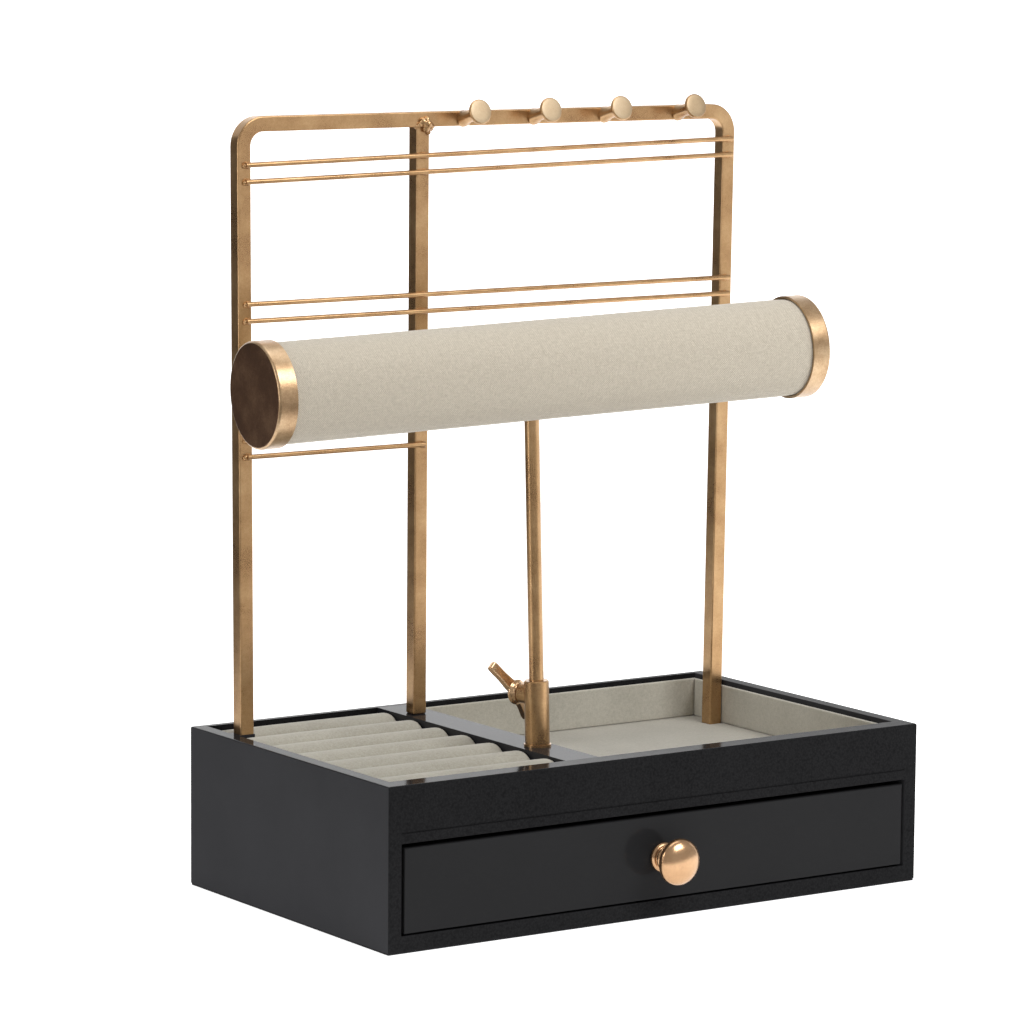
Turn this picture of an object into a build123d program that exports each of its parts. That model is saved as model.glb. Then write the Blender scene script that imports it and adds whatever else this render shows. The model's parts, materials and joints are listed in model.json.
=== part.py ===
"""Jewellery stand: a leather-wrapped box with a ring bed, an open tray and a drawer.

A painted square-bar frame on the box carries earring wires and necklace pegs. A
height-adjustable stem on the divider carries a padded bracelet bolster.
Millimetres, +Z up, +X to the right, the drawer faces -Y. The origin is the middle
of the felt under the box.
"""

from build123d import *
import math
import os

# ---------------------------------------------------------------- driving sizes
# Box
box_width = 300.0
box_depth = 175.0
box_height = 76.5
side_board = 7.0
back_board = 4.0
rail_board = 10.5          # rail above the drawer, front to back
sill_board = 8.0           # rail below the drawer, front to back
sill_height = 8.0          # top of that lower rail
bottom_board = 3.0
deck_board = 3.5
felt_sheet = 1.0
felt_inset = 0.5
edge_round = 0.8           # softened outer edges of the wrapped boards
tray_depth = 23.0          # rim of the box down to the deck
seam_above_rail = 4.5      # wrap seam above the lower edge of the top rail
seam_width = 0.6
seam_depth = 0.4

# Ring bed, divider and tray
ring_bay_width = 95.5      # left wall to divider
divider_width = 18.5
roll_count = 7
roll_gap = 0.5             # between neighbouring rolls
roll_end_gap = 0.4         # roll to wall and roll to divider
roll_end_round = 1.6
roll_crest_drop = 0.4      # rim down to the top of the rolls
roll_card = 1.5
lining_board = 1.75
lining_floor = 1.5
lining_drop = 2.4          # rim down to the top of the linings
lining_corner_gap = 0.4

# Wire frame
bar = 7.2                  # square bar of the frame
bar_edge_round = 0.7
frame_rise = 289.5         # rim of the box up to the top of the frame
frame_corner = 14.0        # outer radius of the two upper corners
frame_set_in = 22.5        # back board to the middle of the bar
post_gap = 0.4             # right post to the tray lining, at its foot
left_post_set_in = 13.7    # outside of the box to the middle of the left post's foot
# The hoop was bent by hand, so each post leans out a little on its way up.
left_post_splay = 2.0
right_post_splay = 3.35
middle_post_shift = -1.5   # from the middle of the divider
post_chamfer = 0.6         # at the middle post's foot
block_width = 10.4
block_depth = 8.4
block_drop = 0.5           # rim down to the top of the left post's block
wire_diameter = 2.4
wire_end_inset = 2.4       # outside of the last post to the end of the wire
# Frame top down to each wire, at its first and its last post: they are welded by eye.
full_wire_drops = ((22.4, 17.2), (30.2, 25.0), (87.0, 85.9), (94.9, 93.9))
short_wire_drops = ((150.6, 150.6), (158.4, 158.4))  # left post to middle post only
weld_radius = 1.9
weld_length = 2.8          # along the wire
weld_gap = 0.05            # bead to post
joint_weld_radius = 3.0    # bead between the middle post and the top bar
joint_weld_rise = 0.6      # its middle in front of the bar
peg_places = (-16.8, 23.8, 65.3, 109.4)  # welded on by eye, so not quite evenly
peg_diameter = 6.0
peg_reach = 15.5           # front of the bar to the front of the peg's disc
peg_tilt = 15.0            # degrees above level
peg_disc_diameter = 12.0
peg_disc = 2.2

# Screws
screw_diameter = 4.0
screw_head_diameter = 7.4
screw_head = 1.8
screw_bite = 12.0          # length inside a post or the knob
screw_clearance = 0.05

# Stem, collar and clamp screw
stem_set_in = 48.2         # front of the box to the stem
stem_shift = 1.0           # from the middle of the divider
stem_lean = 1.8            # degrees to the left: collar, stem and bolster lean as one
stem_diameter = 6.9
stem_clearance = 0.05      # radial, in the collar and in the bolster's plug
stem_lowering = 28.0       # travel down
stem_top_reach = 10.0      # middle of the bolster up to the stem's end
collar_diameter = 11.6
collar_height = 31.0
collar_flange_diameter = 12.8
collar_flange = 1.0
flange_socket = 1.0        # room for the lean where the divider is bored
collar_floor = 1.5         # closed end under the bore
divider_floor = 1.0        # wood left under the collar
clamp_rise = 24.0          # rim up to the clamp screw
clamp_heading = 105.0      # degrees from +X, seen from above
boss_diameter = 9.2
boss_reach = 8.8           # from the stem's axis
clamp_shank_diameter = 4.0
clamp_tip_gap = 0.15
clamp_clearance = 0.05
hub_gap = 0.6              # boss to hub
hub_diameter = 12.0
hub_length = 5.2
hub_cap = 1.4              # closed end of the hub
arm_length = 20.0
arm_width = 4.3
arm_thickness = 3.2
arm_flare = 15.0           # degrees outward
arm_turn = 41.0            # degrees from upright

# Bracelet bolster
bolster_rise = 175.7       # rim up to its middle
bolster_length = 293.0
bolster_shift = 3.5        # its middle along its own axis, from the stem
bolster_heading = -3.5     # degrees about the stem, seen from above
cover_diameter = 46.0
cover_wall = 1.5
tube_wall = 2.5
cap_diameter = 48.6
cap_length = 9.4
cap_plate = 1.8
cap_clearance = 0.15
cap_round = 1.3
plug_length = 30.0
stem_hole_clearance = 0.8  # radial, in the cover and the tube

# Drawer
drawer_side_gap = 1.7
drawer_top_gap = 2.2
drawer_sill_gap = 0.9
drawer_face = 9.0
drawer_wall = 5.0
drawer_wall_drop = 5.8     # face's upper edge down to the walls' upper edge
drawer_base = 2.5
drawer_base_rise = 2.1     # walls' lower edge up to the base
drawer_back_gap = 3.5
drawer_lining = 1.2
drawer_lining_drop = 1.0
runner_width = 8.0
runner_gap = 0.3
knob_flange_radius = 7.0
knob_flange = 2.2
knob_neck_radius = 4.2
knob_neck_end = 6.5        # drawer face out to where the neck flares
knob_rim_radius = 10.9
knob_rim_back = 12.0
knob_rim_front = 14.2
knob_reach = 19.5
knob_groove = 0.8
knob_groove_radius = 5.2

# ---------------------------------------------------------------- derived places
left_wall = -box_width / 2 + side_board
right_wall = box_width / 2 - side_board
front_face = -box_depth / 2
tray_front = front_face + rail_board
tray_back = box_depth / 2 - back_board
deck_top = box_height - tray_depth
deck_underside = deck_top - deck_board
floor_top = felt_sheet + bottom_board
divider_left = left_wall + ring_bay_width
divider_right = divider_left + divider_width
divider_x = (divider_left + divider_right) / 2
lining_top = box_height - lining_drop
tray_floor = deck_top + lining_floor

frame_y = tray_back - frame_set_in
left_foot_x = -box_width / 2 + left_post_set_in
left_top_x = left_foot_x - left_post_splay
right_foot_x = right_wall - lining_board - post_gap - bar / 2
right_top_x = right_foot_x + right_post_splay
middle_x = divider_x + middle_post_shift
post_front = frame_y - bar / 2
frame_top = box_height + frame_rise
block_top = box_height - block_drop
top_bar_z = frame_top - bar / 2
wire_y = post_front - wire_diameter / 2

stem_x = divider_x + stem_shift
stem_y = front_face + stem_set_in
stem_radius = stem_diameter / 2
collar_foot = deck_top + divider_floor
bore_floor = collar_foot + collar_floor
stem_foot = bore_floor + stem_lowering
collar_top = box_height + collar_height
bolster_z = box_height + bolster_rise
stem_top = bolster_z + stem_top_reach

drawer_half = right_wall - drawer_side_gap
drawer_foot = sill_height + drawer_sill_gap
drawer_face_top = deck_underside - drawer_top_gap
drawer_wall_top = drawer_face_top - drawer_wall_drop
drawer_face_back = front_face + drawer_face
drawer_back = tray_back - drawer_back_gap
drawer_floor = drawer_foot + drawer_base_rise + drawer_base
knob_z = (drawer_foot + drawer_face_top) / 2


# Turns the whole arm about the point where the stem's axis passes the rim of the box.
lean = (
    Pos(stem_x, stem_y, box_height)
    * Rot(0, -stem_lean, 0)
    * Pos(-stem_x, -stem_y, -box_height)
)


# ---------------------------------------------------------------- helpers
def block(x, y, z):
    """A board between three pairs of limits."""
    limits = (x, y, z)
    middle = [(low + high) / 2 for low, high in limits]
    return Pos(*middle) * Box(*[high - low for low, high in limits])


def rod(start, end, radius):
    """A round bar between two points."""
    way = Vector(*end) - Vector(*start)
    plane = Plane(origin=start, z_dir=way)
    return plane * extrude(Circle(radius), way.length)


def edges_on(solid, *planes):
    """Edges that lie on every one of the given (axis, value) planes."""
    picked = solid.edges()
    for axis, value in planes:
        picked = picked.filter_by_position(axis, value - 0.01, value + 0.01)
    return picked


def bar_post(x, low, high):
    """A straight upright of the square bar."""
    foot = Plane(origin=(x, frame_y, low))
    return extrude(foot * RectangleRounded(bar, bar, bar_edge_round), high - low)


# ---------------------------------------------------------------- box
def side_panel(x_inner, x_outer):
    """One side of the box, wrapped, with its outer edges softened."""
    x = sorted((x_inner, x_outer))
    panel = block(x, (front_face, -front_face), (felt_sheet, box_height))
    soft = edges_on(panel, (Axis.X, x_outer), (Axis.Y, front_face))
    soft += edges_on(panel, (Axis.X, x_outer), (Axis.Y, -front_face))
    soft += edges_on(panel, (Axis.X, x_outer), (Axis.Z, box_height))
    soft += edges_on(panel, (Axis.Z, box_height), (Axis.Y, front_face))
    soft += edges_on(panel, (Axis.Z, box_height), (Axis.Y, -front_face))
    return fillet(soft, edge_round)


def box_shell():
    """Felt, floor, two sides, back and the two rails round the drawer."""
    between = (left_wall, right_wall)
    felt = block(
        (-box_width / 2 + felt_inset, box_width / 2 - felt_inset),
        (front_face + felt_inset, -front_face - felt_inset),
        (0, felt_sheet),
    )
    floor = block(
        between, (front_face + sill_board, tray_back), (felt_sheet, floor_top)
    )
    back = block(between, (tray_back, -front_face), (felt_sheet, box_height))
    back = fillet(edges_on(back, (Axis.Z, box_height), (Axis.Y, -front_face)), edge_round)
    rail = block(between, (front_face, tray_front), (deck_underside, box_height))
    rail = fillet(edges_on(rail, (Axis.Z, box_height), (Axis.Y, front_face)), edge_round)
    seam_z = deck_underside + seam_above_rail
    rail -= block(
        between, (front_face, front_face + seam_depth), (seam_z, seam_z + seam_width)
    )
    sill = block(between, (front_face, front_face + sill_board), (felt_sheet, sill_height))
    return {
        "bottom_felt": felt,
        "bottom_panel": floor,
        "left_side_panel": side_panel(left_wall, -box_width / 2),
        "right_side_panel": side_panel(right_wall, box_width / 2),
        "back_panel": back,
        "front_top_rail": rail,
        "front_bottom_rail": sill,
    }


def drawer_runners():
    """Strips on the floor that the drawer's walls slide on."""
    runners = {}
    y = (front_face + sill_board, tray_back)
    z = (floor_top, drawer_foot - runner_gap)
    runners["drawer_runner_left"] = block((left_wall, left_wall + runner_width), y, z)
    runners["drawer_runner_right"] = block((right_wall - runner_width, right_wall), y, z)
    return runners


def screw_hole(x, low, high):
    """Clearance for one of the post screws."""
    return rod((x, frame_y, low), (x, frame_y, high), screw_diameter / 2 + screw_clearance)


def deck_and_divider():
    """Deck over the drawer, the divider and the block under the left post."""
    deck = block((left_wall, right_wall), (tray_front, tray_back), (deck_underside, deck_top))
    for x in (left_foot_x, middle_x, right_foot_x):
        deck -= screw_hole(x, deck_underside, deck_top)
    divider = block(
        (divider_left, divider_right), (tray_front, tray_back), (deck_top, box_height)
    )
    divider -= screw_hole(middle_x, deck_top, box_height)
    divider -= lean * rod(
        (stem_x, stem_y, collar_foot),
        (stem_x, stem_y, box_height + flange_socket),
        collar_diameter / 2,
    )
    return {
        "deck_panel": deck,
        "divider": divider,
        "left_post_block": post_block(0) - screw_hole(left_foot_x, deck_top, block_top),
    }


def post_block(clearance):
    """The block in the left wall's corner, or the room that the ring bed leaves for it."""
    return block(
        (left_wall, left_wall + block_width + clearance),
        (frame_y - block_depth / 2 - clearance, frame_y + block_depth / 2 + clearance),
        (deck_top, block_top + clearance),
    )


def ring_roll(y, radius):
    """One padded roll along X: flat below, half round above, with rounded ends."""
    base = deck_top + roll_card
    crest = box_height - roll_crest_drop
    shoulder = crest - radius
    start = left_wall + roll_end_gap
    length = divider_left - roll_end_gap - start
    plane = Plane(origin=(start, y, 0), x_dir=(0, 1, 0), z_dir=(1, 0, 0))
    outline = Line((-radius, base), (radius, base))
    outline += Line((radius, base), (radius, shoulder))
    outline += RadiusArc((radius, shoulder), (0, crest), -radius)
    outline += RadiusArc((0, crest), (-radius, shoulder), -radius)
    outline += Line((-radius, shoulder), (-radius, base))
    roll = plane * extrude(make_face(outline), length)
    ends = edges_on(roll, (Axis.X, start)) + edges_on(roll, (Axis.X, start + length))
    ends = [edge for edge in ends if edge.center().Z > base + 0.1]
    return fillet(ends, roll_end_round)


def ring_bed():
    """Card base and the row of padded rolls, notched round the left post's block."""
    card = block(
        (left_wall, divider_left), (tray_front, tray_back), (deck_top, deck_top + roll_card)
    )
    parts = {"ring_roll_base": card - post_block(roll_gap)}
    pitch = (tray_back - tray_front) / roll_count
    for number in range(roll_count):
        roll = ring_roll(tray_front + (number + 0.5) * pitch, (pitch - roll_gap) / 2)
        parts[f"ring_roll_{number + 1}"] = roll - post_block(roll_gap)
    return parts


def tray_linings():
    """Five covered boards that line the open tray."""
    floor = block((divider_right, right_wall), (tray_front, tray_back), (deck_top, tray_floor))
    opening = bar / 2 + post_gap
    floor -= block(
        (right_foot_x - opening, right_foot_x + opening),
        (frame_y - opening, frame_y + opening),
        (deck_top, tray_floor),
    )
    z = (tray_floor, lining_top)
    x = (divider_right, right_wall)
    y = (
        tray_front + lining_board + lining_corner_gap,
        tray_back - lining_board - lining_corner_gap,
    )
    return {
        "tray_floor_lining": floor,
        "tray_front_lining": block(x, (tray_front, tray_front + lining_board), z),
        "tray_back_lining": block(x, (tray_back - lining_board, tray_back), z),
        "tray_left_lining": block((divider_right, divider_right + lining_board), y, z),
        "tray_right_lining": block((right_wall - lining_board, right_wall), y, z),
    }


# ---------------------------------------------------------------- wire frame
def left_post_x(z):
    """Middle of the hoop's left post at a height."""
    return left_foot_x + (left_top_x - left_foot_x) * (z - block_top) / (top_bar_z - block_top)


def right_post_x(z):
    """Middle of the hoop's right post at a height."""
    return right_foot_x + (right_top_x - right_foot_x) * (z - deck_top) / (top_bar_z - deck_top)


def frame_hoop():
    """The bent square bar: left post, top bar and right post in one, sawn level at the feet."""
    bend = frame_corner - bar / 2
    left_low, right_low = block_top - bar, deck_top - bar
    path = FilletPolyline(
        (left_post_x(left_low), frame_y, left_low),
        (left_top_x, frame_y, top_bar_z),
        (right_top_x, frame_y, top_bar_z),
        (right_post_x(right_low), frame_y, right_low),
        radius=bend,
    )
    foot = Plane(origin=path @ 0, x_dir=(0, 1, 0), z_dir=path % 0)
    hoop = sweep(foot * RectangleRounded(bar, bar, bar_edge_round), path=path)
    across = (frame_y - bar, frame_y + bar)
    hoop -= block((-box_width, 0), across, (left_low - bar, block_top))
    hoop -= block((0, box_width), across, (right_low - bar, deck_top))
    hoop -= screw_hole(left_foot_x, block_top, block_top + screw_bite)
    hoop -= screw_hole(right_foot_x, deck_top, deck_top + screw_bite)
    return hoop


def wire_spans():
    """Every earring wire as (start, end, posts that it is welded to)."""
    reach = bar / 2 - wire_end_inset
    spans = []
    for first_drop, last_drop in full_wire_drops + short_wire_drops:
        first_z, last_z = frame_top - first_drop, frame_top - last_drop
        posts = [left_post_x(first_z), middle_x]
        if (first_drop, last_drop) in full_wire_drops:
            posts.append(right_post_x(last_z))
        start = Vector(posts[0], wire_y, first_z)
        last_weld = Vector(posts[-1], wire_y, last_z)
        way = (last_weld - start).normalized()
        spans.append((start, last_weld + way * reach, posts))
    return spans


def frame_parts():
    """Frame, middle post, earring wires and the weld beads that hold them."""
    hoop = frame_hoop()
    middle = bar_post(middle_x, box_height, frame_top - bar)
    middle = chamfer(edges_on(middle, (Axis.Z, box_height)), post_chamfer)
    middle -= screw_hole(middle_x, box_height, box_height + screw_bite)
    parts = {"frame_hoop": hoop, "middle_post": middle}
    beads = []
    behind_welds = block(
        (-box_width, box_width), (post_front - weld_gap, frame_y), (deck_top, frame_top)
    )
    for number, (start, end, posts) in enumerate(wire_spans(), start=1):
        wire = rod(tuple(start), tuple(end), wire_diameter / 2)
        parts[f"earring_wire_{number}"] = wire
        way = (end - start).normalized()
        for x in posts:
            along = max((x - start.X) / way.X, weld_length / 2)
            weld_start = start + way * (along - weld_length / 2)
            bead = rod(tuple(weld_start), tuple(weld_start + way * weld_length), weld_radius)
            bead = chamfer(bead.edges().filter_by(GeomType.CIRCLE), weld_radius / 4)
            beads.append(bead - wire - behind_welds)
    joint_y = post_front - joint_weld_rise
    joint = Pos(middle_x, joint_y, frame_top - bar) * Rot(90, 0, 0) * Sphere(joint_weld_radius)
    joint -= block(
        (-box_width, box_width), (post_front, frame_y + bar), (frame_top - 2 * bar, frame_top)
    )
    beads.append(joint)
    parts["weld_beads"] = Compound(children=[solid for bead in beads for solid in bead.solids()])
    return parts


def necklace_pegs():
    """Short pegs with a disc on the end, tilted up from the front of the top bar."""
    parts = {}
    tilt = math.radians(peg_tilt)
    out = Vector(0, -math.cos(tilt), math.sin(tilt))
    bar_room = block(
        (-box_width, box_width),
        (post_front, frame_y + bar),
        (frame_top - 2 * bar, frame_top + bar),
    )
    for number, x in enumerate(peg_places, start=1):
        root = Vector(x, post_front, top_bar_z)
        inner = root - out * (bar / 2)
        disc_back = root + out * (peg_reach - peg_disc)
        peg = rod(tuple(inner), tuple(disc_back), peg_diameter / 2)
        disc = rod(tuple(disc_back), tuple(root + out * peg_reach), peg_disc_diameter / 2)
        disc = chamfer(disc.edges().filter_by(GeomType.CIRCLE), peg_disc / 6)
        parts[f"necklace_peg_{number}"] = peg + disc - bar_room
    return parts


def flat_screw(x, head_z, tip_z):
    """An upright screw with its head below."""
    shank = rod((x, frame_y, head_z), (x, frame_y, tip_z), screw_diameter / 2)
    head = rod(
        (x, frame_y, head_z - screw_head), (x, frame_y, head_z), screw_head_diameter / 2
    )
    return shank + head


def post_screws():
    """Three screws up through the deck into the posts."""
    tip_gap = screw_clearance
    tips = {
        left_foot_x: block_top + screw_bite - tip_gap,
        middle_x: box_height + screw_bite - tip_gap,
        right_foot_x: deck_top + screw_bite - tip_gap,
    }
    screws = [flat_screw(x, deck_underside, tip) for x, tip in tips.items()]
    return {"post_screws": Compound(children=screws)}


# ---------------------------------------------------------------- stem and clamp
clamp_way = Vector(
    math.cos(math.radians(clamp_heading)), math.sin(math.radians(clamp_heading)), 0
)
clamp_middle = Vector(stem_x, stem_y, box_height + clamp_rise)


def clamp_rod(start, end, radius):
    """A round bar along the clamp screw, between two distances from the stem's axis."""
    first = clamp_middle + clamp_way * start
    last = clamp_middle + clamp_way * end
    return rod(tuple(first), tuple(last), radius)


def stem_collar():
    """Turned sleeve let into the divider, with a flange and a boss for the clamp screw."""
    foot = (stem_x, stem_y, collar_foot)
    sleeve = rod(foot, (stem_x, stem_y, collar_top), collar_diameter / 2)
    sleeve = chamfer(edges_on(sleeve, (Axis.Z, collar_top)), 0.4)
    flange = rod(
        (stem_x, stem_y, box_height),
        (stem_x, stem_y, box_height + collar_flange),
        collar_flange_diameter / 2,
    )
    collar = lean * (sleeve + clamp_rod(0, boss_reach, boss_diameter / 2)) + flange
    collar -= lean * rod(
        (stem_x, stem_y, bore_floor),
        (stem_x, stem_y, collar_top),
        stem_radius + stem_clearance,
    )
    collar -= lean * clamp_rod(0, boss_reach, clamp_shank_diameter / 2 + clamp_clearance)
    return collar


def wing_arm(turn):
    """One flared arm of the wing screw; turn is measured from upright."""
    face = Plane(
        origin=tuple(clamp_middle + clamp_way * (boss_reach + hub_gap + hub_length / 2)),
        x_dir=(0, 0, 1),
        z_dir=tuple(clamp_way),
    )
    arm = extrude(
        Plane.YZ * RectangleRounded(arm_width, arm_thickness, arm_thickness / 2.2),
        arm_length,
    )
    return face * Rot(0, 0, turn) * Rot(0, -arm_flare, 0) * arm


def clamp_screw():
    """Threaded shank and its wing-shaped head."""
    hub_start = boss_reach + hub_gap
    hub_end = hub_start + hub_length
    shank_end = hub_end - hub_cap - clamp_tip_gap
    shank = clamp_rod(
        stem_radius + clamp_tip_gap, shank_end, clamp_shank_diameter / 2
    )
    hub = clamp_rod(hub_start, hub_end, hub_diameter / 2)
    hub = fillet(hub.edges().filter_by(GeomType.CIRCLE), 0.8)
    wing = hub + wing_arm(-arm_turn) + wing_arm(180 - arm_turn)
    wing -= clamp_rod(
        hub_start - hub_gap, hub_end - hub_cap, clamp_shank_diameter / 2 + clamp_clearance
    )
    return {"clamp_screw_shank": lean * shank, "clamp_screw_wing": lean * wing}


def stem_rod():
    """Round rod from the collar up into the bolster."""
    return lean * rod((stem_x, stem_y, stem_foot), (stem_x, stem_y, stem_top), stem_radius)


# ---------------------------------------------------------------- bolster
bolster_place = (
    Pos(stem_x, stem_y, bolster_z)
    * Rot(0, 0, bolster_heading)
    * Pos(bolster_shift, 0, 0)
)


def along_bolster(start, end, radius):
    """A round solid along the bolster's own axis."""
    return bolster_place * rod((start, 0, 0), (end, 0, 0), radius)


def stem_room(clearance, top):
    """Hole for the stem, from under the bolster; like all of it, built before the lean."""
    return rod(
        (stem_x, stem_y, bolster_z - cap_diameter),
        (stem_x, stem_y, top),
        stem_radius + clearance,
    )


def end_cap(side):
    """Metal cup over one end; side is -1 on the left and 1 on the right."""
    inner = side * (bolster_length / 2 - cap_length)
    outer = side * bolster_length / 2
    plate = outer - side * cap_plate
    cup = rod((inner, 0, 0), (outer, 0, 0), cap_diameter / 2)
    cup = fillet(edges_on(cup, (Axis.X, outer)), cap_round)
    cup -= rod((inner, 0, 0), (plate, 0, 0), cover_diameter / 2 + cap_clearance)
    return bolster_place * cup


def bolster():
    """Card tube, padded cover, two end caps and the plug that takes the stem."""
    half = bolster_length / 2 - cap_plate
    cover_radius = cover_diameter / 2
    tube_radius = cover_radius - cover_wall
    bore_radius = tube_radius - tube_wall
    entry = stem_room(stem_hole_clearance, bolster_z)
    cover = along_bolster(-half, half, cover_radius) - along_bolster(-half, half, tube_radius)
    tube = along_bolster(-half, half, tube_radius) - along_bolster(-half, half, bore_radius)
    # The plug sits over the stem, so it is set back by the bolster's own shift.
    plug = along_bolster(
        -plug_length / 2 - bolster_shift, plug_length / 2 - bolster_shift, bore_radius
    )
    pieces = {
        "bolster_tube": tube - entry,
        "bolster_cover": cover - entry,
        "end_cap_left": end_cap(-1),
        "end_cap_right": end_cap(1),
        "stem_socket": plug - stem_room(stem_clearance, stem_top + clamp_tip_gap),
    }
    return {name: lean * piece for name, piece in pieces.items()}


# ---------------------------------------------------------------- drawer
def drawer_box():
    """Face, two walls, back, base and lining."""
    wall_z = (drawer_foot, drawer_wall_top)
    inner = drawer_half - drawer_wall
    back_start = drawer_back - drawer_wall
    face = block(
        (-drawer_half, drawer_half), (front_face, drawer_face_back), (drawer_foot, drawer_face_top)
    )
    face = fillet(face.faces().sort_by(Axis.Y)[0].edges(), edge_round / 2)
    head_room = screw_head + 2 * screw_clearance
    back_of_face = (0, drawer_face_back, knob_z)
    shank_hole = screw_diameter / 2 + screw_clearance
    head_hole = screw_head_diameter / 2 + screw_clearance
    face -= rod((0, front_face, knob_z), back_of_face, shank_hole)
    face -= rod((0, drawer_face_back - head_room, knob_z), back_of_face, head_hole)
    y = (drawer_face_back, drawer_back)
    lining_outer = block(
        (-inner, inner),
        (drawer_face_back, back_start),
        (drawer_floor, drawer_wall_top - drawer_lining_drop),
    )
    lining_room = block(
        (-inner + drawer_lining, inner - drawer_lining),
        (drawer_face_back + drawer_lining, back_start - drawer_lining),
        (drawer_floor + drawer_lining, drawer_wall_top),
    )
    base_z = (drawer_floor - drawer_base, drawer_floor)
    return {
        "drawer_front": face,
        "drawer_left_side": block((-drawer_half, -inner), y, wall_z),
        "drawer_right_side": block((inner, drawer_half), y, wall_z),
        "drawer_back": block((-inner, inner), (back_start, drawer_back), wall_z),
        "drawer_bottom": block((-inner, inner), (drawer_face_back, back_start), base_z),
        "drawer_lining": lining_outer - lining_room,
    }


def knob():
    """Turned mushroom knob, and the screw that holds it from inside the drawer."""
    profile = Polyline(
        (0, 0),
        (knob_flange_radius, 0),
        (knob_flange_radius, knob_flange),
        (knob_groove_radius, knob_flange),
        (knob_groove_radius, knob_flange + knob_groove),
        (knob_neck_radius, knob_flange + knob_groove),
        (knob_neck_radius, knob_neck_end),
        (knob_rim_radius, knob_rim_back),
        (knob_rim_radius, knob_rim_front),
    )
    crown = knob_reach - knob_rim_front
    dome_radius = (knob_rim_radius**2 + crown**2) / (2 * crown)
    half_turn = math.asin(knob_rim_radius / dome_radius) / 2
    dome = ThreePointArc(
        (knob_rim_radius, knob_rim_front),
        (
            dome_radius * math.sin(half_turn),
            knob_reach - dome_radius * (1 - math.cos(half_turn)),
        ),
        (0, knob_reach),
    )
    outline = make_face(profile + dome + Line((0, knob_reach), (0, 0)))
    turned = revolve(Plane.XY * outline, Axis.Y)
    # The outline is turned about its own Y axis, so it is mirrored to point forward.
    place = Pos(0, front_face, knob_z) * Rot(0, 0, 180)
    body = place * turned
    tip = front_face - screw_bite + 2
    shank_hole = screw_diameter / 2 + screw_clearance
    body -= rod((0, front_face, knob_z), (0, tip - screw_clearance, knob_z), shank_hole)
    head_back = drawer_face_back - 2 * screw_clearance
    screw = rod((0, head_back, knob_z), (0, head_back - screw_head, knob_z), screw_head_diameter / 2)
    screw += rod((0, head_back - screw_head, knob_z), (0, tip, knob_z), screw_diameter / 2)
    return {"drawer_knob": body, "knob_screw": screw}


# ---------------------------------------------------------------- the whole stand
def jewellery_stand():
    """Every piece by its node name."""
    parts = {}
    parts.update(box_shell())
    parts.update(drawer_runners())
    parts.update(deck_and_divider())
    parts.update(ring_bed())
    parts.update(tray_linings())
    parts.update(frame_parts())
    parts.update(necklace_pegs())
    parts.update(post_screws())
    parts["stem_collar"] = stem_collar()
    parts["stem_rod"] = stem_rod()
    parts.update(clamp_screw())
    parts.update(bolster())
    parts.update(drawer_box())
    parts.update(knob())
    return parts


os.makedirs("parts", exist_ok=True)
for name, shape in jewellery_stand().items():
    export_step(shape, f"parts/{name}.step")
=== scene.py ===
# %% [markdown]
# # A jewellery stand with a drawer
#
# The stand is a black wrapped box with a bed of ring rolls, an open tray and a drawer. A bent
# frame of painted square bar stands on it, with earring wires and necklace pegs, and a padded
# bracelet bolster turns on an adjustable stem. The construction is already settled in the frame
# that is loaded first. What is left for Blender is how it looks: the soft pieces, the turned and
# cast pieces, and the finish of every surface.

# %% Load the frame
import json
import math

import bmesh
import bpy
from mathutils import Matrix, Vector, noise


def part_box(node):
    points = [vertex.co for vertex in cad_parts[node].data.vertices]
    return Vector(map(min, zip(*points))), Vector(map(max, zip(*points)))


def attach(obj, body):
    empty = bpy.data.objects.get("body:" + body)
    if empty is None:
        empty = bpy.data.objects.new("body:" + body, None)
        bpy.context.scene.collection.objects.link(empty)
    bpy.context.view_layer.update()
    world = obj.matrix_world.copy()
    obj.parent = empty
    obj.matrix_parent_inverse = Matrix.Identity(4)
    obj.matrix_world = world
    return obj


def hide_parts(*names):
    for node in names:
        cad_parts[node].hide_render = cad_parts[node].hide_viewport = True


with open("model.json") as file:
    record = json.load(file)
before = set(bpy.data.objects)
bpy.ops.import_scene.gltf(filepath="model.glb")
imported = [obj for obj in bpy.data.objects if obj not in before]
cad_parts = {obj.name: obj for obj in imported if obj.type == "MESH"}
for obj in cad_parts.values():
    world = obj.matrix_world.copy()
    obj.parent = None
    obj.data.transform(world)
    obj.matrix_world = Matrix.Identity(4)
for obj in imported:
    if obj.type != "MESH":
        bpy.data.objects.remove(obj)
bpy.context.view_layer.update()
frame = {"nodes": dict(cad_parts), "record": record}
MM = 0.001

# %% [markdown]
# ## The camera
#
# The picture was taken with a long lens from the front left, a little above the rim of the box.
# A long lens keeps upright edges nearly parallel, so the camera stands more than two metres away.
# The turn, the downward pitch and a slight roll are three rotations, one after the other.

# %% Camera
lens_mm = 165.36
camera_place = Vector((-1.25256, -1.81533, 0.48243))
camera_turn = math.radians(-34.044)
camera_pitch = math.radians(90 - 7.842)
camera_roll = math.radians(0.465)

camera_data = bpy.data.cameras.new("camera")
camera_data.lens = lens_mm
camera = bpy.data.objects.new("camera", camera_data)
bpy.context.collection.objects.link(camera)
aim = Matrix.Rotation(camera_turn, 4, "Z") @ Matrix.Rotation(camera_pitch, 4, "X")
camera.matrix_world = Matrix.Translation(camera_place) @ aim @ Matrix.Rotation(camera_roll, 4, "Z")
bpy.context.scene.camera = camera
print("camera stands", round(camera_place.length, 3), "m from the box")

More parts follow.
